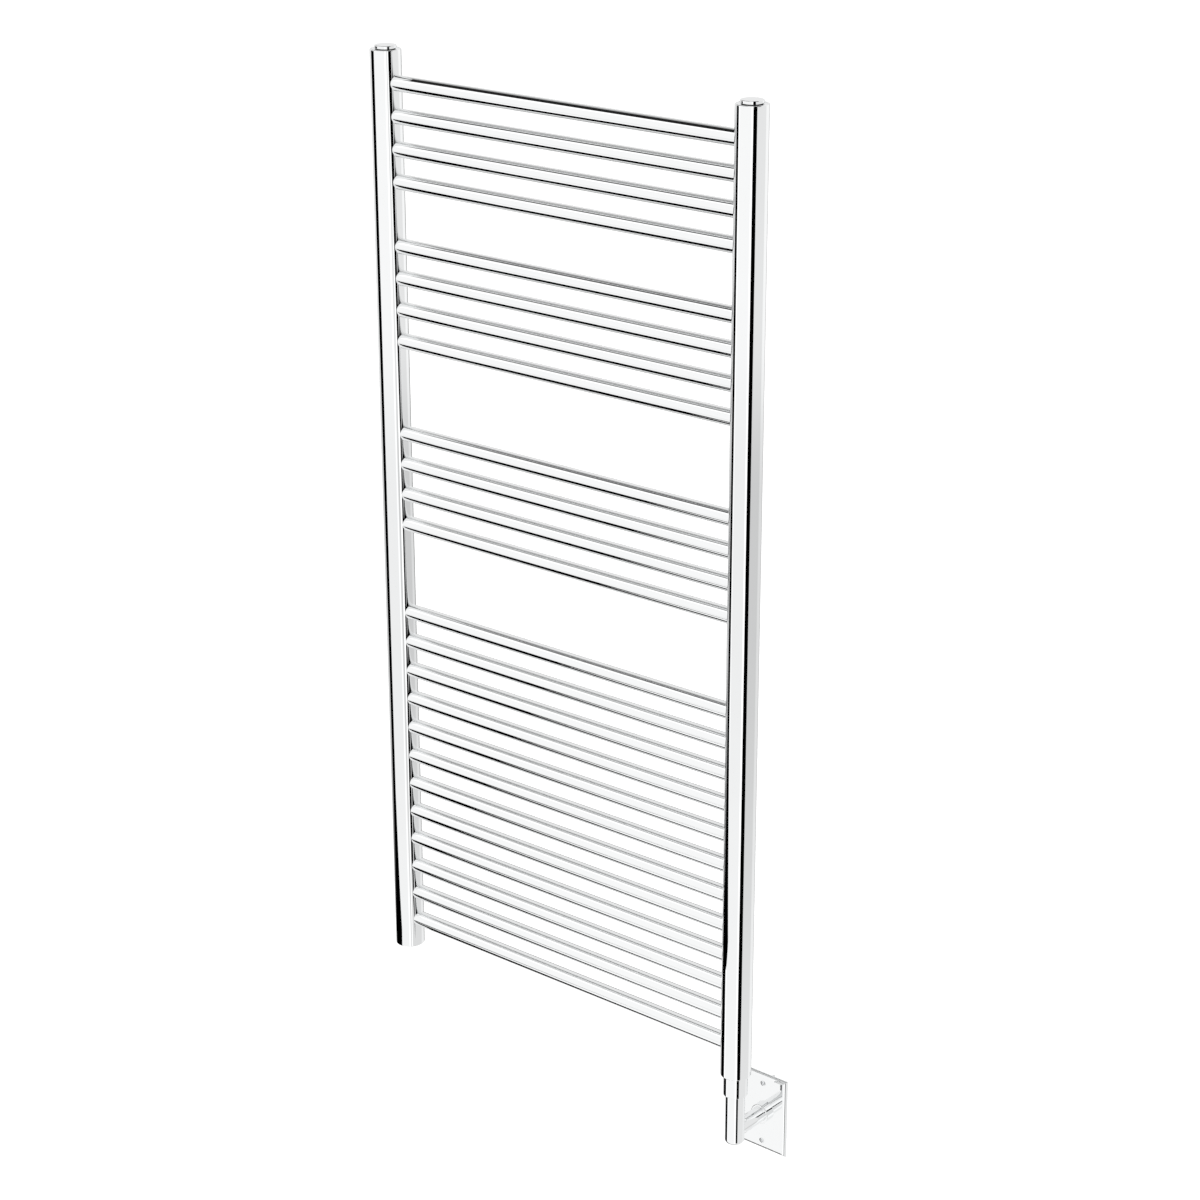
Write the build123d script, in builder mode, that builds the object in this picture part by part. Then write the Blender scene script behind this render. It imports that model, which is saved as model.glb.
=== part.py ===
from build123d import *
import math
import os

# Electric ladder towel warmer for a wall: two round posts, twenty-four round rungs in four groups,
# an immersion heater under the right-hand post and an arm that carries its wires to a wall plate.
#
# Millimetres, +Z up. +X runs from the plain post to the heated post, +Y points at the wall.
# The origin is the centre of the four threaded wall bosses, on the plane of their outer faces.

# ---- driving dimensions ----

# rack
rung_pitch = 40.6
rung_groups = (4, 4, 4, 12)
group_gaps = (2, 3, 3)
post_spacing = 560.0
post_diameter = 39.0
post_wall = 2.0
rung_diameter = 20.0
rung_wall = 1.25
rung_insertion = 1.5
end_margin = rung_pitch
post_edge_radius = 1.2

# end discs and screwed caps
disc_thickness = 5.0
disc_recess = 0.6
plug_diameter = 20.9
plug_length = 9.0
cap_diameter = 27.5
cap_height = 3.8
cap_edge_radius = 1.0
cap_key_width = 8.0
cap_key_depth = 6.0
seal_thickness = 1.2
seal_outer_diameter = 24.5

# threaded wall bosses
boss_diameter = 12.0
boss_proud = 2.0
boss_depth = 9.0
boss_thread_diameter = 6.8
boss_slot = 1

# collar and terminal housing
collar_diameter = 31.0
collar_length = 28.5
collar_bore = 24.0
collar_roof = 8.0
collar_edge_chamfer = 0.8
housing_diameter = 25.0
housing_length = 69.5
housing_wall = 1.5
housing_floor = 2.0
housing_spigot = 6.0
housing_edge_radius = 5.0

# arm to the wall
arm_drop = 53.5
arm_diameter = 20.0
arm_wall = 1.5
arm_start = 5.5
arm_past_wall = 8.0
slide_clearance = 0.06

# wall plate
plate_face_distance = 58.5
plate_width = 70.5
plate_height = 109.0
plate_thickness = 5.0
plate_bevel_width = 4.7
plate_bevel_depth = 3.6
plate_skin = 2.0
plate_rim = 2.0
plate_screw_spacing = 83.3
screw_diameter = 3.5
screw_hole_diameter = 3.8
screw_head_diameter = 7.6
screw_head_crown = 0.7
screw_countersink_angle = 90.0
screw_length = 24.0
screw_recess_width = 1.1
screw_recess_length = 4.4
screw_recess_depth = 1.6
screw_recess_turn = 45.0

# ferrule on the plate
ferrule_diameter = 26.0
ferrule_length = 7.5
ferrule_edge_radius = 1.2
grub_diameter = 3.5
grub_length = 2.6
grub_tip_gap = 0.16
grub_key_width = 2.0
grub_key_depth = 1.6

# heater
rod_diameter = 12.5
rod_length = 560.0
rod_tip_radius = 3.1
element_plug_length = 15.0
element_flange_diameter = 23.6
element_flange_thickness = 6.0
element_seal_thickness = 1.5

# wiring
block_width = 19.6
block_depth = 9.4
block_height = 12.0
block_drop = 18.0
clamp_diameter = 3.4
clamp_pitch = 4.6
clamp_length = 6.0
cutout_width = 8.0
cutout_depth = 4.0
cutout_height = 14.0
cutout_corner_radius = 1.0
cutout_drop = 8.0
lead_offset = 3.1
bond_lead_offset = 8.4
wire_diameter = 2.4
wire_bend_radius = 8.0
wire_tail = 10.0
crimp_diameter = 1.8
crimp_length = 8.0
grommet_length = 6.0
grommet_lip = 1.5

# ---- worked-out places ----

post_radius = post_diameter / 2
rung_radius = rung_diameter / 2
rack_y = -(post_radius + boss_proud)
left_x = -post_spacing / 2
right_x = post_spacing / 2

rung_slots = []
slot = 0
for group, rungs_in_group in enumerate(rung_groups):
    for rung in range(rungs_in_group):
        rung_slots.append(slot + rung)
    slot += rungs_in_group - 1
    if group < len(group_gaps):
        slot += group_gaps[group]
last_slot = rung_slots[-1]
rung_heights = [(last_slot / 2 - position) * rung_pitch for position in rung_slots]

post_top = rung_heights[0] + end_margin
post_bottom = rung_heights[-1] - end_margin
post_length = post_top - post_bottom
boss_heights = {
    "upper": (last_slot / 2 - boss_slot) * rung_pitch,
    "lower": -(last_slot / 2 - boss_slot) * rung_pitch,
}
post_places = {"left": left_x, "right": right_x}

collar_top = post_bottom
collar_bottom = collar_top - collar_length
arm_z = collar_bottom - arm_drop
plate_face_y = rack_y + plate_face_distance
wall_y = plate_face_y + plate_thickness
housing_radius = housing_diameter / 2
arm_radius = arm_diameter / 2
ferrule_middle_y = plate_face_y - ferrule_length / 2

os.makedirs("parts", exist_ok=True)


def write(name, part):
    """Label one finished piece and write its STEP file."""
    part.label = name
    export_step(part, f"parts/{name}.step")


def flat_down(height, x=0.0, y=0.0):
    """Level sketch plane that faces down, centred under (x, y) at a height."""
    return Plane(origin=(x, y, height), x_dir=(1, 0, 0), z_dir=(0, 0, -1))


def facing_wall(y, x=0.0, z=0.0):
    """Upright sketch plane that faces the wall."""
    return Plane(origin=(x, y, z), x_dir=(-1, 0, 0), z_dir=(0, 1, 0))


# ---- posts ----

for side, post_x in post_places.items():
    inward = 1 if side == "left" else -1
    with BuildPart() as post:
        with BuildSketch(Plane(origin=(post_x, rack_y, post_bottom))):
            Circle(post_radius)
        extrude(amount=post_length)
        rims = post.edges().filter_by(GeomType.CIRCLE)
        fillet(rims, post_edge_radius)
        with BuildSketch(Plane(origin=(post_x, rack_y, post_bottom))):
            Circle(post_radius - post_wall)
        extrude(amount=post_length, mode=Mode.SUBTRACT)
        for height in rung_heights:
            inner_side = Plane(origin=(post_x, rack_y, height), x_dir=(0, 1, 0), z_dir=(inward, 0, 0))
            with BuildSketch(inner_side):
                Circle(rung_radius)
            extrude(amount=post_diameter, mode=Mode.SUBTRACT)
        for height in boss_heights.values():
            with BuildSketch(facing_wall(rack_y, post_x, height)):
                Circle(boss_diameter / 2)
            extrude(amount=post_diameter, mode=Mode.SUBTRACT)
    write(f"{side}_post", post.part)

# ---- rungs ----

rung_length = post_spacing - 2 * math.sqrt((post_radius - post_wall) ** 2 - rung_radius**2)
rung_length += 2 * rung_insertion
for number, height in enumerate(rung_heights, start=1):
    with BuildPart() as rung_tube:
        with BuildSketch(Plane(origin=(0, rack_y, height), x_dir=(0, 1, 0), z_dir=(1, 0, 0))):
            Circle(rung_radius)
            Circle(rung_radius - rung_wall, mode=Mode.SUBTRACT)
        extrude(amount=rung_length / 2, both=True)
    write(f"rung_{number:02d}", rung_tube.part)

# ---- end discs ----

disc_levels = {"top": post_top - disc_recess - disc_thickness, "bottom": post_bottom + disc_recess}
for side, post_x in post_places.items():
    for end, level in disc_levels.items():
        with BuildPart() as disc:
            with BuildSketch(Plane(origin=(post_x, rack_y, level))):
                Circle(post_radius - post_wall)
                if end == "top" or side == "right":
                    Circle(plug_diameter / 2, mode=Mode.SUBTRACT)
            extrude(amount=disc_thickness)
        write(f"{side}_{end}_disc", disc.part)

# ---- screwed caps and their seals ----

seal_bottom = post_top - disc_recess
cap_bottom = seal_bottom + seal_thickness
for side, post_x in post_places.items():
    with BuildPart() as seal:
        with BuildSketch(Plane(origin=(post_x, rack_y, seal_bottom))):
            Circle(seal_outer_diameter / 2)
            Circle(plug_diameter / 2, mode=Mode.SUBTRACT)
        extrude(amount=seal_thickness)
    write(f"{side}_cap_seal", seal.part)

    with BuildPart() as cap:
        with BuildSketch(Plane(origin=(post_x, rack_y, cap_bottom))):
            Circle(cap_diameter / 2)
        extrude(amount=cap_height)
        fillet(cap.edges().group_by(Axis.Z)[-1], cap_edge_radius)
        with BuildSketch(flat_down(cap_bottom, post_x, rack_y)):
            Circle(plug_diameter / 2)
        extrude(amount=plug_length)
        with BuildSketch(flat_down(cap_bottom - plug_length, post_x, rack_y)):
            RegularPolygon(cap_key_width / 2, 6)
        extrude(amount=-cap_key_depth, mode=Mode.SUBTRACT)
    write(f"{side}_top_cap", cap.part)

# ---- threaded wall bosses ----

for side, post_x in post_places.items():
    for level, height in boss_heights.items():
        with BuildPart() as boss:
            with BuildSketch(facing_wall(0.0, post_x, height)):
                Circle(boss_diameter / 2)
            extrude(amount=-boss_depth)
            with BuildSketch(facing_wall(0.0, post_x, height)):
                Circle(boss_thread_diameter / 2)
            extrude(amount=-boss_depth, mode=Mode.SUBTRACT)
        write(f"{side}_{level}_wall_boss", boss.part)

# ---- collar that joins the heater head to the right-hand post ----

with BuildPart() as collar:
    with BuildSketch(flat_down(collar_top, right_x, rack_y)):
        Circle(collar_diameter / 2)
    extrude(amount=collar_length)
    chamfer(collar.edges().group_by(Axis.Z)[0], collar_edge_chamfer)
    with BuildSketch(flat_down(collar_top, right_x, rack_y)):
        Circle(plug_diameter / 2)
    extrude(amount=collar_roof, mode=Mode.SUBTRACT)
    with BuildSketch(flat_down(collar_top - collar_roof, right_x, rack_y)):
        Circle(collar_bore / 2)
    extrude(amount=collar_length, mode=Mode.SUBTRACT)
write("reducer_collar", collar.part)

# ---- immersion heater: plug, seal and sheathed rod ----

flange_top = collar_top - collar_roof - element_seal_thickness
with BuildPart() as element_seal:
    with BuildSketch(flat_down(collar_top - collar_roof, right_x, rack_y)):
        Circle(element_flange_diameter / 2)
        Circle(plug_diameter / 2, mode=Mode.SUBTRACT)
    extrude(amount=element_seal_thickness)
write("element_seal", element_seal.part)

with BuildPart() as element_plug:
    with BuildSketch(flat_down(flange_top, right_x, rack_y)):
        Circle(element_flange_diameter / 2)
    extrude(amount=element_flange_thickness)
    with BuildSketch(Plane(origin=(right_x, rack_y, flange_top))):
        Circle(plug_diameter / 2)
    extrude(amount=element_plug_length)
    with BuildSketch(flat_down(flange_top + element_plug_length, right_x, rack_y)):
        Circle(rod_diameter / 2)
    extrude(amount=element_plug_length + element_flange_thickness, mode=Mode.SUBTRACT)
write("element_plug", element_plug.part)

rod_bottom = flange_top - element_flange_thickness
with BuildPart() as heating_rod:
    with BuildSketch(Plane(origin=(right_x, rack_y, rod_bottom))):
        Circle(rod_diameter / 2)
    extrude(amount=rod_length)
    fillet(heating_rod.edges().group_by(Axis.Z)[-1], rod_tip_radius)
write("heating_rod", heating_rod.part)

# ---- terminal housing ----

with BuildPart() as housing:
    with BuildSketch(flat_down(collar_bottom, right_x, rack_y)):
        Circle(housing_radius)
    extrude(amount=housing_length)
    fillet(housing.edges().group_by(Axis.Z)[0], housing_edge_radius)
    with BuildSketch(Plane(origin=(right_x, rack_y, collar_bottom))):
        Circle(collar_bore / 2)
    extrude(amount=housing_spigot)
    with BuildSketch(flat_down(collar_bottom + housing_spigot, right_x, rack_y)):
        Circle(housing_radius - housing_wall)
    extrude(amount=housing_spigot + housing_length - housing_floor, mode=Mode.SUBTRACT)
    with BuildSketch(facing_wall(rack_y, right_x, arm_z)):
        Circle(arm_radius)
    extrude(amount=housing_diameter, mode=Mode.SUBTRACT)
write("terminal_housing", housing.part)

# ---- arm ----

arm_end_y = wall_y + arm_past_wall
with BuildPart() as arm:
    with BuildSketch(facing_wall(rack_y + arm_start, right_x, arm_z)):
        Circle(arm_radius)
        Circle(arm_radius - arm_wall, mode=Mode.SUBTRACT)
    extrude(amount=arm_end_y - rack_y - arm_start)
write("wall_arm", arm.part)

# ---- wall plate ----

plate_heights = (arm_z - plate_screw_spacing / 2, arm_z + plate_screw_spacing / 2)
bevel_back_y = plate_face_y + plate_bevel_depth
with BuildPart() as plate:
    with BuildSketch(facing_wall(bevel_back_y, right_x, arm_z)):
        Rectangle(plate_width, plate_height)
    extrude(amount=wall_y - bevel_back_y)
    with BuildSketch(facing_wall(bevel_back_y, right_x, arm_z)):
        Rectangle(plate_width, plate_height)
    with BuildSketch(facing_wall(plate_face_y, right_x, arm_z)):
        Rectangle(plate_width - 2 * plate_bevel_width, plate_height - 2 * plate_bevel_width)
    loft()
    with BuildSketch(facing_wall(plate_face_y + plate_skin, right_x, arm_z)):
        Rectangle(
            plate_width - 2 * (plate_bevel_width + plate_rim),
            plate_height - 2 * (plate_bevel_width + plate_rim),
        )
    extrude(amount=plate_thickness, mode=Mode.SUBTRACT)
    with BuildSketch(facing_wall(plate_face_y, right_x, arm_z)):
        Circle(arm_radius + slide_clearance)
    extrude(amount=plate_thickness, mode=Mode.SUBTRACT)
    with Locations(*[facing_wall(plate_face_y, right_x, height).location for height in plate_heights]):
        with Locations(Rotation(180, 0, 0)):
            CounterSinkHole(
                radius=screw_hole_diameter / 2,
                counter_sink_radius=screw_head_diameter / 2,
                depth=plate_thickness,
                counter_sink_angle=screw_countersink_angle,
            )
write("wall_plate", plate.part)

# ---- ferrule and its grub screw ----

with BuildPart() as ferrule:
    with BuildSketch(facing_wall(plate_face_y, right_x, arm_z)):
        Circle(ferrule_diameter / 2)
    extrude(amount=-ferrule_length)
    fillet(ferrule.edges().group_by(Axis.Y)[0], ferrule_edge_radius)
    with BuildSketch(facing_wall(plate_face_y, right_x, arm_z)):
        Circle(arm_radius + slide_clearance)
    extrude(amount=-ferrule_length, mode=Mode.SUBTRACT)
    with BuildSketch(flat_down(arm_z, right_x, ferrule_middle_y)):
        Circle(grub_diameter / 2)
    extrude(amount=ferrule_diameter, mode=Mode.SUBTRACT)
write("arm_ferrule", ferrule.part)

grub_tip_z = arm_z - arm_radius - grub_tip_gap
with BuildPart() as grub:
    with BuildSketch(flat_down(grub_tip_z, right_x, ferrule_middle_y)):
        Circle(grub_diameter / 2)
    extrude(amount=grub_length)
    with BuildSketch(flat_down(grub_tip_z - grub_length, right_x, ferrule_middle_y)):
        RegularPolygon(grub_key_width / 2, 6)
    extrude(amount=-grub_key_depth, mode=Mode.SUBTRACT)
write("ferrule_grub_screw", grub.part)

# ---- countersunk screws of the wall plate ----

head_radius = screw_head_diameter / 2
shank_radius = screw_diameter / 2
with BuildPart() as plate_screws:
    for height in plate_heights:
        screw_plane = Plane(origin=(right_x, plate_face_y, height), x_dir=(1, 0, 0), z_dir=(0, 0, 1))
        with BuildSketch(screw_plane):
            with BuildLine():
                TangentArc((0, -screw_head_crown), (head_radius, 0), tangent=(1, 0))
                Polyline(
                    (head_radius, 0),
                    (shank_radius, head_radius - shank_radius),
                    (shank_radius, screw_length),
                    (0, screw_length),
                    (0, -screw_head_crown),
                )
            make_face()
        revolve(axis=Axis((right_x, plate_face_y, height), (0, 1, 0)))
        with BuildSketch(facing_wall(plate_face_y - screw_head_crown, right_x, height)):
            Rectangle(screw_recess_length, screw_recess_width, rotation=screw_recess_turn)
            Rectangle(screw_recess_length, screw_recess_width, rotation=-screw_recess_turn)
        extrude(amount=screw_recess_depth, mode=Mode.SUBTRACT)
write("plate_screws", plate_screws.part)

# ---- terminal block, its clamps and the thermal cut-out ----

block_top = collar_bottom - block_drop
block_bottom = block_top - block_height
clamp_places = [(step * clamp_pitch, 0) for step in (-1, 0, 1)]
with BuildPart() as block:
    with BuildSketch(flat_down(block_top, right_x, rack_y)):
        Rectangle(block_width, block_depth)
    extrude(amount=block_height)
    with BuildSketch(flat_down(block_bottom, right_x, rack_y)):
        with Locations(*clamp_places):
            Circle(clamp_diameter / 2)
    extrude(amount=-clamp_length, mode=Mode.SUBTRACT)
write("terminal_block", block.part)

with BuildPart() as clamps:
    with BuildSketch(flat_down(block_bottom, right_x, rack_y)):
        with Locations(*clamp_places):
            Circle(clamp_diameter / 2)
    extrude(amount=-clamp_length)
write("terminal_clamps", clamps.part)

cutout_top = rod_bottom - cutout_drop
cutout_x = right_x + lead_offset
with BuildPart() as cutout:
    with BuildSketch(flat_down(cutout_top, cutout_x, rack_y)):
        RectangleRounded(cutout_width, cutout_depth, cutout_corner_radius)
    extrude(amount=cutout_height)
write("thermal_cutout", cutout.part)

# ---- leads inside the head ----

straight_leads = {
    "live_lead_upper": (lead_offset, rod_bottom, cutout_top),
    "live_lead_lower": (lead_offset, cutout_top - cutout_height, block_top),
    "neutral_lead": (-lead_offset, rod_bottom, block_top),
    "earth_bond_lead": (-bond_lead_offset, rod_bottom, block_top),
}
for name, (offset_x, top, bottom) in straight_leads.items():
    with BuildPart() as lead:
        with BuildSketch(flat_down(top, right_x + offset_x, rack_y)):
            Circle(wire_diameter / 2)
        extrude(amount=top - bottom)
    write(name, lead.part)

# ---- supply leads: down from the block, then out through the arm ----

lead_end_y = arm_end_y + grommet_lip + wire_tail
supply_leads = {"supply_live": -clamp_pitch, "supply_earth": 0.0, "supply_neutral": clamp_pitch}
for name, offset_x in supply_leads.items():
    lead_x = right_x + offset_x
    with BuildPart() as supply_lead:
        with BuildLine():
            FilletPolyline(
                (lead_x, rack_y, block_bottom),
                (lead_x, rack_y, arm_z),
                (lead_x, lead_end_y, arm_z),
                radius=wire_bend_radius,
            )
        with BuildSketch(flat_down(block_bottom, lead_x, rack_y)):
            Circle(wire_diameter / 2)
        sweep()
    write(name, supply_lead.part)

with BuildPart() as crimps:
    with BuildSketch(facing_wall(lead_end_y, right_x, arm_z)):
        with Locations(*clamp_places):
            Circle(crimp_diameter / 2)
    extrude(amount=crimp_length)
write("lead_crimps", crimps.part)

# ---- grommet in the arm's wall end ----

with BuildPart() as grommet:
    with BuildSketch(facing_wall(arm_end_y, right_x, arm_z)):
        Circle(arm_radius - arm_wall)
    extrude(amount=-grommet_length)
    with BuildSketch(facing_wall(arm_end_y, right_x, arm_z)):
        Circle(arm_radius)
    extrude(amount=grommet_lip)
    with BuildSketch(facing_wall(arm_end_y - grommet_length, right_x, arm_z)):
        with Locations(*clamp_places):
            Circle(wire_diameter / 2)
    extrude(amount=grommet_length + grommet_lip, mode=Mode.SUBTRACT)
write("arm_grommet", grommet.part)
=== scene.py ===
import math

import bmesh
import bpy
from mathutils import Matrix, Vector


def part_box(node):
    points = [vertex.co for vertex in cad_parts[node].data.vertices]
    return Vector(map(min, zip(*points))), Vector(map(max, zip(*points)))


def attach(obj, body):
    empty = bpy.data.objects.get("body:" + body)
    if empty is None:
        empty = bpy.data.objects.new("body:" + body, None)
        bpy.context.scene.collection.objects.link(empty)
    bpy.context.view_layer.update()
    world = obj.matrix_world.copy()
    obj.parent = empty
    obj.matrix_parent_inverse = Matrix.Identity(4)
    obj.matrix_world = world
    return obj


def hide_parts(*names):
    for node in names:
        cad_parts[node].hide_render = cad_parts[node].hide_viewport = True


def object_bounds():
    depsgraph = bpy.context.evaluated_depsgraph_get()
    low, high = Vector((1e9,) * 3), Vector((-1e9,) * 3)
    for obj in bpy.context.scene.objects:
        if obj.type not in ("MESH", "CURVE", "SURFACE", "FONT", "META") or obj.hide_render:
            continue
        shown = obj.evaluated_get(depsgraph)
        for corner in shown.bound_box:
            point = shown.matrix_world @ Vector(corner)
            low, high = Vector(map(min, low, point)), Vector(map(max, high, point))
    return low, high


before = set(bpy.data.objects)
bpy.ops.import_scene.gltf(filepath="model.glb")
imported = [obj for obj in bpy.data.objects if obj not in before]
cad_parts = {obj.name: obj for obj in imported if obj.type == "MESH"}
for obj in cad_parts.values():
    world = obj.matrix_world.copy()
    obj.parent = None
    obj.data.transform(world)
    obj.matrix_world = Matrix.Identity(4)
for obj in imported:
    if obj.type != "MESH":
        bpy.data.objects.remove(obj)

# Chrome ladder towel warmer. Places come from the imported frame, in metres.

cad_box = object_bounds()

# ---- places, all from the frame ----


def corners(node):
    """Lowest and highest corners of a CAD node's box."""
    low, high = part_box(node)
    return Vector(low), Vector(high)


def middle(node):
    """Centre of a CAD node's box."""
    low, high = corners(node)
    return (low + high) / 2


def half_size(node):
    """Half the size of a CAD node's box."""
    low, high = corners(node)
    return (high - low) / 2


rung_names = sorted(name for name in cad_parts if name.startswith("rung_"))
rung_heights = [middle(name).z for name in rung_names]
rack_y = middle(rung_names[0]).y
pitch = rung_heights[0] - rung_heights[1]

# ---- camera ----

CAMERA_AZIMUTH = math.radians(39.92)
CAMERA_ELEVATION = math.radians(20.64)
CAMERA_ROLL = math.radians(0.1)
CAMERA_LENS_MM = 85.1
CAMERA_SENSOR_MM = 36.0
CAMERA_FROM_CORNER = Vector((59.879, -61.475, 15.508))  # in rung pitches


def make_camera():
    """Camera ahead and to the right of the rack, placed from the rack's upper left corner."""
    camera = bpy.data.objects.new("camera", bpy.data.cameras.new("camera"))
    bpy.context.scene.collection.objects.link(camera)
    camera.data.lens = CAMERA_LENS_MM
    camera.data.sensor_width = CAMERA_SENSOR_MM
    corner = Vector((middle("left_post").x, rack_y, rung_heights[0]))
    camera.location = corner + CAMERA_FROM_CORNER * pitch
    camera.rotation_euler = (math.pi / 2 - CAMERA_ELEVATION, CAMERA_ROLL, CAMERA_AZIMUTH)
    bpy.context.scene.camera = camera


# ---- node helpers ----


def new_tree(block):
    """Emptied node tree of a material or world."""
    block.use_nodes = True
    block.node_tree.nodes.clear()
    return block.node_tree


def feed(tree, socket, value):
    """Link a socket, or set a number on it."""
    if isinstance(value, bpy.types.NodeSocket):
        tree.links.new(value, socket)
    else:
        socket.default_value = value


def math_node(tree, operation, *values):
    """Math node fed by sockets or numbers."""
    node = tree.nodes.new("ShaderNodeMath")
    node.operation = operation
    for socket, value in zip(node.inputs, values):
        feed(tree, socket, value)
    return node.outputs[0]


def ramp(tree, value, start, end, low=0.0, high=1.0):
    """Level that goes smoothly from low to high as a value goes from start to end."""
    node = tree.nodes.new("ShaderNodeMapRange")
    node.interpolation_type = "SMOOTHSTEP"
    feed(tree, node.inputs["Value"], value)
    node.inputs["From Min"].default_value = start
    node.inputs["From Max"].default_value = end
    node.inputs["To Min"].default_value = low
    node.inputs["To Max"].default_value = high
    return node.outputs[0]


def band(tree, angle, low, high, soft=1.0):
    """1 where an angle in degrees lies between two limits, with soft edges."""
    enter = ramp(tree, angle, low - soft, low + soft)
    leave = ramp(tree, angle, high - soft, high + soft, 1.0, 0.0)
    return math_node(tree, "MULTIPLY", enter, leave)


def blend_to(tree, base, mask, level):
    """base where the mask is 0, level where it is 1."""
    keep = math_node(tree, "MULTIPLY", base, math_node(tree, "SUBTRACT", 1.0, mask))
    return math_node(tree, "MULTIPLY_ADD", mask, level, keep)


# ---- studio: the room that polished metal mirrors ----

# A panel of the room spans from start to end, in degrees to the right of straight ahead.
# soft is half the width of its edges, and glow is its brightness.
FRONT_BORDER = {"start": -64, "end": 48, "soft": 1, "glow": 1.30}
FRONT_PANEL = {"start": -50, "end": 36, "soft": 1, "glow": 1.09}
REAR_PANEL = {"start": 150, "end": 190, "soft": 4, "glow": 1.08}
REAR_GREY = {"start": -168, "end": -118, "soft": 2, "glow": 0.58}
REAR_STRIP = {"start": -152, "end": -139, "soft": 1, "glow": 0.03}
LEFT_FOOT = {"start": -103, "end": -72, "soft": 1, "glow": 0.0}
ROOM_GLOW = 0.91
ROOM_LIGHT = 1.3

# Degrees above the horizon at which a panel or a shade begins and at which it is complete.
REAR_TOP = (3, -3)
LEFT_FOOT_TOP = (-22, -27)
SHADE_TOP = (-15.0, -18.5)
SHADE_FOOT = (-33, -20)

SHADE_AHEAD = 0.09
SHADE_ASIDE = 0.24
SHADE_AHEAD_FROM = -60
SHADE_AHEAD_TO = 50


def add_panel(tree, base, around, panel, extent=1.0):
    """Levels of the room with a panel laid over them, where extent is 1."""
    across = band(tree, around, panel["start"], panel["end"], panel["soft"])
    mask = math_node(tree, "MULTIPLY", across, extent)
    return blend_to(tree, base, mask, panel["glow"])


def low_shade(tree, around, rise):
    """Factor that darkens a belt of the room below the horizon, more at the sides than ahead."""
    dip = math_node(tree, "MULTIPLY", ramp(tree, rise, *SHADE_TOP), ramp(tree, rise, *SHADE_FOOT))
    aside = math_node(tree, "SUBTRACT", 1.0, band(tree, around, SHADE_AHEAD_FROM, SHADE_AHEAD_TO))
    depth = ramp(tree, aside, 0.0, 1.0, SHADE_AHEAD, SHADE_ASIDE)
    return math_node(tree, "SUBTRACT", 1.0, math_node(tree, "MULTIPLY", dip, depth))


def studio_levels(tree, direction):
    """Brightness of the mirrored room in a direction."""
    split = tree.nodes.new("ShaderNodeSeparateXYZ")
    tree.links.new(direction, split.inputs[0])
    x, y, z = split.outputs
    ahead = math_node(tree, "MULTIPLY", y, -1.0)
    around = math_node(tree, "DEGREES", math_node(tree, "ARCTAN2", x, ahead))
    rise = math_node(tree, "DEGREES", math_node(tree, "ARCSINE", z))
    level = ROOM_GLOW
    for panel in (FRONT_BORDER, FRONT_PANEL, REAR_PANEL):
        level = add_panel(tree, level, around, panel)
    level = math_node(tree, "MULTIPLY", level, low_shade(tree, around, rise))
    rear_extent = ramp(tree, rise, *REAR_TOP)
    for panel in (REAR_GREY, REAR_STRIP):
        level = add_panel(tree, level, around, panel, rear_extent)
    return add_panel(tree, level, around, LEFT_FOOT, ramp(tree, rise, *LEFT_FOOT_TOP))


def make_studio():
    """Even white room for the camera and the floor, and the panelled room for mirrors."""
    world = bpy.data.worlds.new("studio")
    bpy.context.scene.world = world
    tree = new_tree(world)
    coords = tree.nodes.new("ShaderNodeTexCoord")
    level = studio_levels(tree, coords.outputs["Generated"])
    mirrored = tree.nodes.new("ShaderNodeLightPath").outputs["Is Glossy Ray"]
    background = tree.nodes.new("ShaderNodeBackground")
    background.inputs["Color"].default_value = (1, 1, 1, 1)
    strength = blend_to(tree, ROOM_LIGHT, mirrored, level)
    tree.links.new(strength, background.inputs["Strength"])
    output = tree.nodes.new("ShaderNodeOutputWorld")
    tree.links.new(background.outputs[0], output.inputs[0])
    bpy.context.scene.view_settings.view_transform = "Standard"


# ---- floor and cards ----

SQUARE = ((-1, -1), (1, -1), (1, 1), (-1, 1))
FLOOR_DROP = 2.2
FLOOR_HALF_SIDE = 40.0
FLOOR_COLOUR = (0.93, 0.93, 0.93, 1)
SECOND_MIRROR = 1.5  # ray depths past this have met two mirrors or more


def new_surface(name, shader_name):
    """Material made of one shader, with its node tree and the shader, for setting."""
    material = bpy.data.materials.new(name)
    tree = new_tree(material)
    shader = tree.nodes.new(shader_name)
    output = tree.nodes.new("ShaderNodeOutputMaterial")
    tree.links.new(shader.outputs[0], output.inputs[0])
    return material, tree, shader


def flat_object(name, points, material):
    """Flat four-cornered object."""
    mesh = bpy.data.meshes.new(name)
    mesh.from_pydata(points, [], [(0, 1, 2, 3)])
    mesh.materials.append(material)
    sheet = bpy.data.objects.new(name, mesh)
    bpy.context.scene.collection.objects.link(sheet)
    return sheet


def make_floor():
    """Plain pale floor well below the rack."""
    height = cad_box[0][2] - FLOOR_DROP
    material, _, shader = new_surface("floor", "ShaderNodeBsdfDiffuse")
    shader.inputs["Color"].default_value = FLOOR_COLOUR
    points = [(x * FLOOR_HALF_SIDE, y * FLOOR_HALF_SIDE, height) for x, y in SQUARE]
    floor = flat_object("floor", points, material)
    floor.visible_glossy = False


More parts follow.
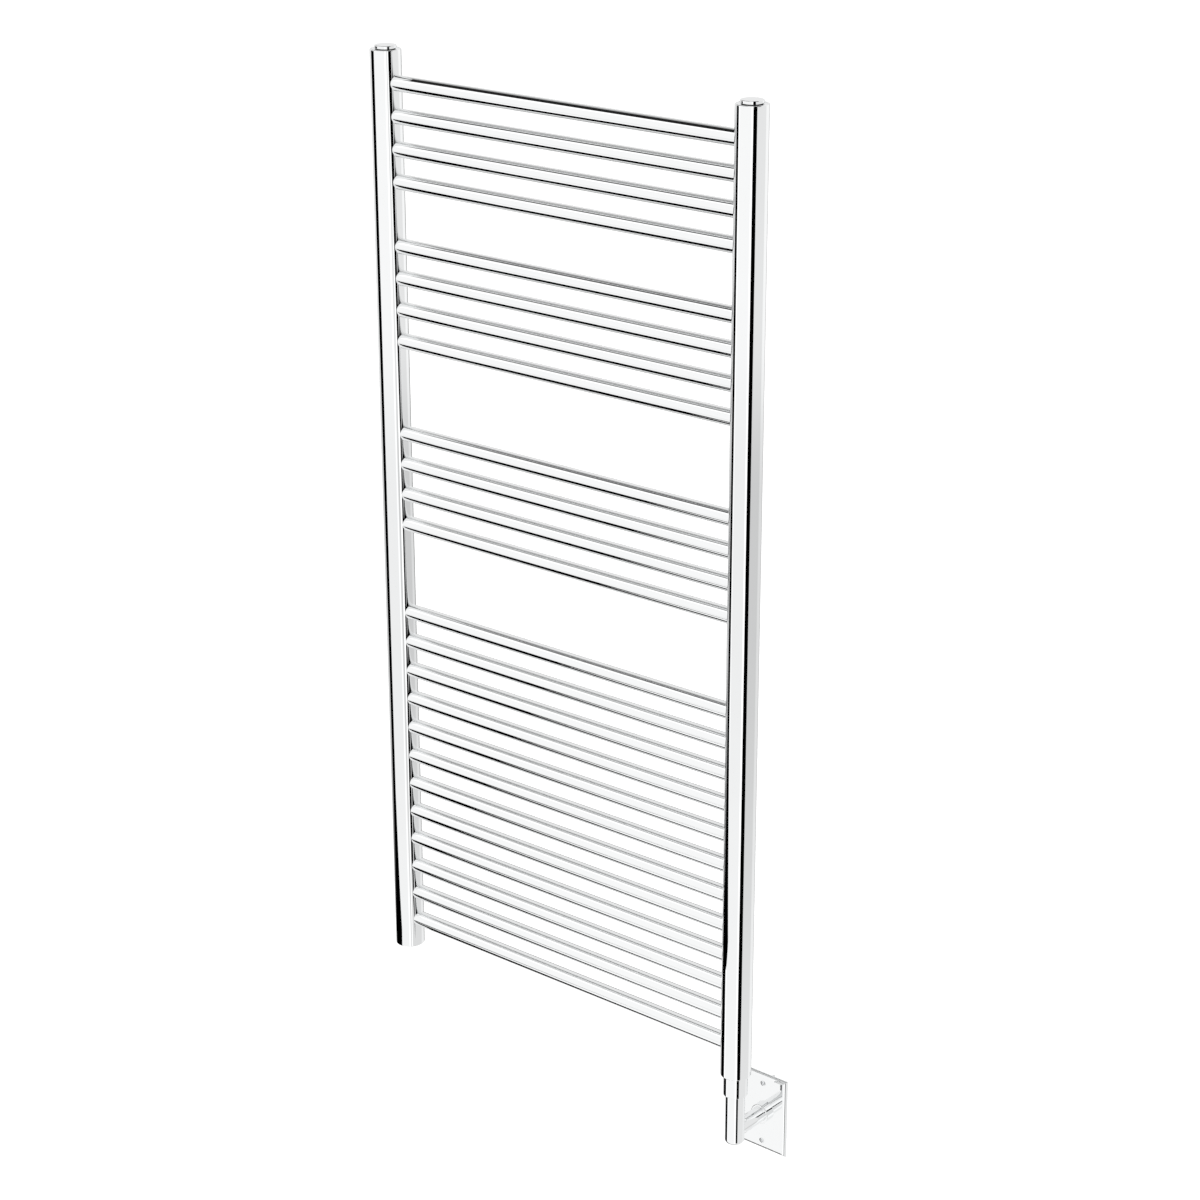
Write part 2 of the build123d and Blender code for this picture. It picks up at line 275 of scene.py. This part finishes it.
def make_card(name, points, glow, again=None):
    """Flat studio card that only mirrors see; again is its glow in a mirror of a mirror."""
    material, tree, shader = new_surface(name, "ShaderNodeEmission")
    shader.inputs["Strength"].default_value = glow
    if again is not None:
        depth = tree.nodes.new("ShaderNodeLightPath").outputs["Ray Depth"]
        second = math_node(tree, "GREATER_THAN", depth, SECOND_MIRROR)
        level = math_node(tree, "MULTIPLY_ADD", second, again - glow, glow)
        tree.links.new(level, shader.inputs["Strength"])
    panel = flat_object(name, points, material)
    panel.visible_camera = False
    panel.visible_diffuse = False
    panel.visible_shadow = False
    panel.visible_transmission = False


def upright_card(name, start, end, bottom, top, glow, again=None):
    """Studio card that stands between two points of the floor plan."""
    points = [(*start, bottom), (*end, bottom), (*end, top), (*start, top)]
    make_card(name, points, glow, again)


def level_card(name, left, right, near, far, height, glow):
    """Studio card that lies level overhead."""
    corners_in_plan = ((left, near), (right, near), (right, far), (left, far))
    make_card(name, [(x, y, height) for x, y in corners_in_plan], glow)


def make_side_cards():
    """Cards on the right: the streak down the right of each post and the pale edge beside it."""
    low = cad_box[0][2]
    top = cad_box[1][2] + 0.6
    right_x = middle("right_post").x
    pale_edge = (right_x + 0.437, rack_y - 0.674)
    shared_edge = (right_x + 0.62, rack_y - 0.62)
    black_edge = (right_x + 0.228, rack_y - 0.083)
    upright_card("side_card_pale", pale_edge, shared_edge, bottom=low - 0.9, top=top, glow=1.30)
    split = low + 0.18
    upright_card("side_card_black", shared_edge, black_edge, bottom=split, top=top, glow=0.0)
    upright_card(
        "side_card_low", shared_edge, black_edge, bottom=low - 0.255, top=split, glow=0.0, again=0.95
    )


def make_left_card():
    """Black card ahead on the left: the streak down the left of each post."""
    left, right = -9.0, -1.42
    front = rack_y - 1.0
    bottom = cad_box[0][2] - 5.0
    top = cad_box[1][2] - 0.05
    upright_card("left_card_black", (left, front), (right, front), bottom, top, glow=0.0)


def make_top_cards():
    """Cards above: the dark lines along the tops of the rungs, seen from ahead and from behind."""
    height = rung_heights[0] + 1.0
    left, right = -2.0, 0.1
    near, shared_edge, far = rack_y - 0.42, rack_y + 0.42, rack_y + 1.05
    level_card("top_card_black", left, right, near, shared_edge, height, glow=0.02)
    level_card("top_card_grey", left, right, shared_edge, far, height, glow=0.45)
    left, right = 0.3, 3.0
    near, far = rack_y - 0.28, rack_y + 0.40
    level_card("top_card_behind", left, right, near, far, height, glow=0.05)


def make_foot_card():
    """Tilted black card low on the left: the dark lines along the undersides of the rungs."""
    low = cad_box[0][2]
    left, right = -6.0, -1.0
    far_edge = (rack_y - 1.59, low - 0.725)
    near_edge = (rack_y - 0.57, low - 0.445)
    points = [(left, *far_edge), (right, *far_edge), (right, *near_edge), (left, *near_edge)]
    make_card("foot_card_black", points, glow=0.0)


# ---- materials ----

MM = 0.001
EVEN_GRAIN = (1, 1, 1)
UPRIGHT_GRAIN = (1, 1, 0.03)
CROSS_GRAIN = (0.03, 1, 1)
WALL_GRAIN = (1, 0.03, 1)


def position(tree, stretch):
    """Object position, stretched for grain that runs along an axis."""
    coords = tree.nodes.new("ShaderNodeTexCoord")
    mapping = tree.nodes.new("ShaderNodeMapping")
    mapping.inputs["Scale"].default_value = stretch
    tree.links.new(coords.outputs["Object"], mapping.inputs["Vector"])
    return mapping.outputs[0]


def noise(tree, size, stretch=EVEN_GRAIN, detail=3.0):
    """Noise whose blotches are about a given size in metres."""
    node = tree.nodes.new("ShaderNodeTexNoise")
    tree.links.new(position(tree, stretch), node.inputs["Vector"])
    node.inputs["Scale"].default_value = 1 / size
    node.inputs["Detail"].default_value = detail
    node.inputs["Roughness"].default_value = 0.55
    return node.outputs[0]


def bump(tree, height, depth):
    """Normal from a height field, with a real depth in metres."""
    node = tree.nodes.new("ShaderNodeBump")
    node.inputs["Strength"].default_value = 1.0
    node.inputs["Distance"].default_value = depth
    tree.links.new(height, node.inputs["Height"])
    return node.outputs[0]


def shaded(tree, factor, colour, shade):
    """Colour that turns to a darker shade of itself as a factor rises."""
    node = tree.nodes.new("ShaderNodeMix")
    node.data_type = "RGBA"
    tree.links.new(factor, node.inputs["Factor"])
    node.inputs["A"].default_value = (*colour, 1)
    node.inputs["B"].default_value = (*(channel * shade for channel in colour), 1)
    return node.outputs["Result"]


def finish_surface(tree, shader, colour, rough, normal):
    """Link the colour, roughness and normal of a principled shader."""
    tree.links.new(colour, shader.inputs["Base Color"])
    tree.links.new(rough, shader.inputs["Roughness"])
    tree.links.new(normal, shader.inputs["Normal"])


def chrome(name, grain, colour=(0.865, 0.872, 0.875)):
    """Polished chrome: a faint haze, and polishing lines along the grain."""
    material, tree, shader = new_surface(name, "ShaderNodeBsdfPrincipled")
    shader.inputs["Metallic"].default_value = 1.0
    haze = noise(tree, size=45 * MM, detail=4.0)
    lines = noise(tree, size=0.9 * MM, stretch=grain, detail=2.0)
    hazy = ramp(tree, haze, 0.35, 0.75, low=0.012, high=0.030)
    lined = ramp(tree, lines, 0.5, 0.8, low=0.0, high=0.018)
    rough = math_node(tree, "ADD", hazy, lined)
    normal = bump(tree, lines, depth=0.0003 * MM)
    finish_surface(tree, shader, shaded(tree, haze, colour, shade=0.975), rough, normal)
    return material


def steel(name, colour, size, grain, low, high, depth):
    """Turned, drawn or plated metal with grain of a given size, and roughness from low to high."""
    material, tree, shader = new_surface(name, "ShaderNodeBsdfPrincipled")
    shader.inputs["Metallic"].default_value = 1.0
    grains = noise(tree, size, grain)
    patches = noise(tree, size=9 * MM)
    rough = ramp(tree, grains, 0.3, 0.7, low, high)
    normal = bump(tree, grains, depth)
    finish_surface(tree, shader, shaded(tree, patches, colour, shade=0.8), rough, normal)
    return material


def moulded(name, colour, rough, size, depth, specular=0.5):
    """Moulded plastic, rubber or wire insulation with a fine pebbled skin."""
    material, tree, shader = new_surface(name, "ShaderNodeBsdfPrincipled")
    shader.inputs["Specular IOR Level"].default_value = specular
    skin = noise(tree, size)
    blotch = noise(tree, size=14 * MM)
    uneven = ramp(tree, skin, 0.3, 0.7, rough - 0.06, rough + 0.08)
    normal = bump(tree, skin, depth)
    finish_surface(tree, shader, shaded(tree, blotch, colour, shade=0.82), uneven, normal)
    return material


INSULATION = {"rough": 0.38, "size": 0.8 * MM, "depth": 0.006 * MM}

# The finish and its settings for each material slot of the record.
FINISHES = {
    "post_chrome": (chrome, {"grain": UPRIGHT_GRAIN}),
    "rung_chrome": (chrome, {"grain": CROSS_GRAIN}),
    "cap_chrome": (chrome, {"grain": EVEN_GRAIN, "colour": (0.845, 0.852, 0.858)}),
    "head_chrome": (chrome, {"grain": UPRIGHT_GRAIN}),
    "plate_chrome": (chrome, {"grain": CROSS_GRAIN}),
    "screw_steel": (steel, {
        "colour": (0.80, 0.81, 0.82),
        "size": 0.35 * MM,
        "grain": WALL_GRAIN,
        "low": 0.05,
        "high": 0.12,
        "depth": 0.001 * MM,
    }),
    "boss_steel": (steel, {
        "colour": (0.55, 0.56, 0.57),
        "size": 0.5 * MM,
        "grain": EVEN_GRAIN,
        "low": 0.28,
        "high": 0.45,
        "depth": 0.006 * MM,
    }),
    "sheath_steel": (steel, {
        "colour": (0.45, 0.45, 0.46),
        "size": 0.4 * MM,
        "grain": UPRIGHT_GRAIN,
        "low": 0.25,
        "high": 0.42,
        "depth": 0.005 * MM,
    }),
    "brass": (steel, {
        "colour": (0.74, 0.56, 0.28),
        "size": 0.4 * MM,
        "grain": EVEN_GRAIN,
        "low": 0.2,
        "high": 0.36,
        "depth": 0.004 * MM,
    }),
    "seal_rubber": (moulded, {
        "colour": (0.03, 0.03, 0.03),
        "rough": 0.62,
        "size": 0.5 * MM,
        "depth": 0.01 * MM,
        "specular": 0.35,
    }),
    "block_plastic": (moulded, {
        "colour": (0.72, 0.71, 0.66),
        "rough": 0.42,
        "size": 0.6 * MM,
        "depth": 0.008 * MM,
    }),
    "live_insulation": (moulded, {"colour": (0.25, 0.12, 0.06), **INSULATION}),
    "neutral_insulation": (moulded, {"colour": (0.05, 0.13, 0.42), **INSULATION}),
    "earth_insulation": (moulded, {"colour": (0.12, 0.42, 0.10), **INSULATION}),
}


def make_materials():
    """One procedural material for each material slot of the record."""
    return {slot: make(slot, **settings) for slot, (make, settings) in FINISHES.items()}


# ---- wall plate with crowned edges ----

BEVEL_WIDTH = 4.7 * MM
BEVEL_DEPTH = 3.6 * MM
BEVEL_CROWN = 0.55 * MM
BEVEL_STEPS = 8
CREASE_ANGLE = math.radians(14)
PLATE_SKIN = 2.0 * MM
PLATE_RIM = 2.0 * MM
ARM_CLEARANCE = 0.06 * MM
SCREW_HOLE_RADIUS = 1.9 * MM
CUTTER_OVERRUN = 1.0 * MM
ROUND_STEPS = 96


def solid_of_rings(name, rings):
    """Closed solid with a skin over a stack of rings of points, each with as many points."""
    bm = bmesh.new()
    loops = [[bm.verts.new(point) for point in ring] for ring in rings]
    for ring, following in zip(loops, loops[1:]):
        for index in range(len(ring)):
            after = (index + 1) % len(ring)
            bm.faces.new((ring[index], ring[after], following[after], following[index]))
    bm.faces.new(loops[0])
    bm.faces.new(reversed(loops[-1]))
    bmesh.ops.recalc_face_normals(bm, faces=bm.faces)
    mesh = bpy.data.meshes.new(name)
    bm.to_mesh(mesh)
    bm.free()
    solid = bpy.data.objects.new(name, mesh)
    bpy.context.scene.collection.objects.link(solid)
    return solid


def turned_cutter(name, x, z, profile):
    """Solid turned about an axis along Y from (radius, y) points."""
    angles = [2 * math.pi * step / ROUND_STEPS for step in range(ROUND_STEPS)]
    rings = [[(x + r * math.cos(a), y, z + r * math.sin(a)) for a in angles] for r, y in profile]
    return solid_of_rings(name, rings)


def plate_profile(face_y, back_y):
    """(inset, y) points from the hollow, round the rim and over the crowned bevel to the face."""
    hollow = BEVEL_WIDTH + PLATE_RIM
    points = [(hollow, face_y + PLATE_SKIN), (hollow, back_y), (0.0, back_y)]
    slope = math.hypot(BEVEL_WIDTH, BEVEL_DEPTH)
    for step in range(BEVEL_STEPS + 1):
        share = step / BEVEL_STEPS
        crown = 4 * BEVEL_CROWN * share * (1 - share)
        inset = share * BEVEL_WIDTH - crown * BEVEL_DEPTH / slope
        depth = (1 - share) * BEVEL_DEPTH - crown * BEVEL_WIDTH / slope
        points.append((max(inset, 0.0), face_y + max(depth, 0.0)))
    return points


def plate_blank(name):
    """Square-cornered plate with a crowned bevel, before its holes are cut."""
    low, high = corners("wall_plate")
    centre = middle("wall_plate")
    half = half_size("wall_plate")
    rings = []
    for inset, y in plate_profile(low.y, high.y):
        half_x = half.x - inset
        half_z = half.z - inset
        rings.append([(centre.x + i * half_x, y, centre.z + k * half_z) for i, k in SQUARE])
    return solid_of_rings(name, rings)


def plate_cutters():
    """Solids that cut the arm hole and the two countersunk screw holes."""
    low, high = corners("wall_plate")
    before = low.y - CUTTER_OVERRUN
    after = high.y + CUTTER_OVERRUN
    arm = middle("wall_arm")
    arm_radius = half_size("wall_arm").x + ARM_CLEARANCE
    arm_profile = [(arm_radius, before), (arm_radius, after)]
    cutters = [turned_cutter("arm_cutter", arm.x, arm.z, arm_profile)]
    screw_low, screw_high = corners("plate_screws")
    head_radius = half_size("plate_screws").x
    sink = head_radius - SCREW_HOLE_RADIUS
    profile = [
        (head_radius + CUTTER_OVERRUN, before),
        (SCREW_HOLE_RADIUS, low.y + sink),
        (SCREW_HOLE_RADIUS, after),
    ]
    for z in (screw_low.z + head_radius, screw_high.z - head_radius):
        cutters.append(turned_cutter("screw_cutter", middle("wall_plate").x, z, profile))
    return cutters


def carve(solid, cutters):
    """Cut the cutters out of a solid and remove them."""
    for cutter in cutters:
        cut = solid.modifiers.new("cut", "BOOLEAN")
        cut.operation = "DIFFERENCE"
        cut.solver = "EXACT"
        cut.object = cutter
    graph = bpy.context.evaluated_depsgraph_get()
    carved = bpy.data.meshes.new_from_object(solid.evaluated_get(graph))
    solid.modifiers.clear()
    solid.data = carved
    for cutter in cutters:
        bpy.data.objects.remove(cutter)


def make_plate(material):
    """Wall plate whose crowned bevel catches the light."""
    plate = plate_blank("wall_plate_polished")
    carve(plate, plate_cutters())
    plate.data.shade_smooth()
    plate.data.set_sharp_from_angle(angle=CREASE_ANGLE)
    plate.data.materials.append(material)
    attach(plate, "cover")
    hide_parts("wall_plate")


# ---- build ----

make_camera()
make_studio()
make_floor()
make_side_cards()
make_left_card()
make_top_cards()
make_foot_card()

materials = make_materials()
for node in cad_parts.values():
    for slot in node.material_slots:
        slot.material = materials[slot.material.name.split(".")[0]]
make_plate(materials["plate_chrome"])
